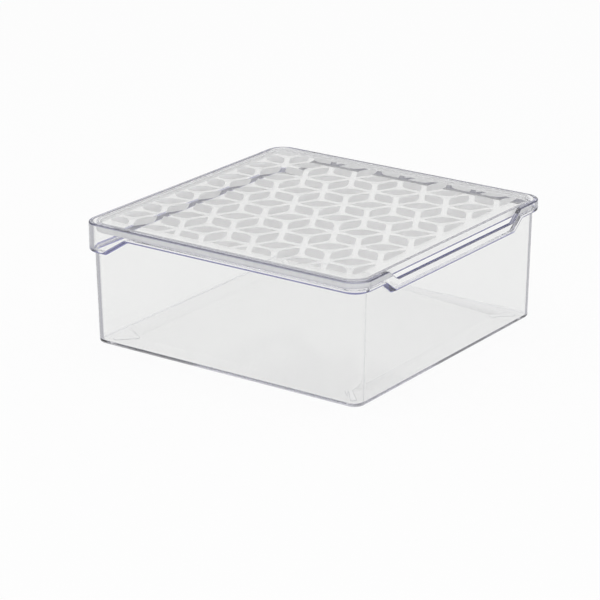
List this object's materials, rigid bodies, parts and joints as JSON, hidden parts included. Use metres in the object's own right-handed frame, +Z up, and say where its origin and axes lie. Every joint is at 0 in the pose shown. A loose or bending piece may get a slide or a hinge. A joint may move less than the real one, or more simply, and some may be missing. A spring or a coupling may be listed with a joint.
{
  "type": "plastic storage box",
  "caption": "Square clear plastic storage box with a stepped rim, a deep grip band, a finger notch and a flat lift-off lid with a frosted leaf lattice.",
  "frame": {"origin": "on the ground under the middle of the box, level with the underside of the feet", "axes": "+Z up; +X towards the side with the finger notch; -X towards the side with the deep grip band; +Y completes the right-handed frame"},
  "size_m": [0.185, 0.185, 0.071],
  "materials": {
    "clear_plastic": "clear, glossy",
    "frosted_plastic": "clear, with frosted leaf shapes"
  },
  "bodies": {
    "tray": {"tray": "clear_plastic"},
    "lid": {"lid": "frosted_plastic"}
  },
  "joints": [
    {"name": "lid_lift", "type": "slide", "parent": "tray", "child": "lid", "axis": [0, 0, 1], "range_m": [0, 0.09]}
  ]
}
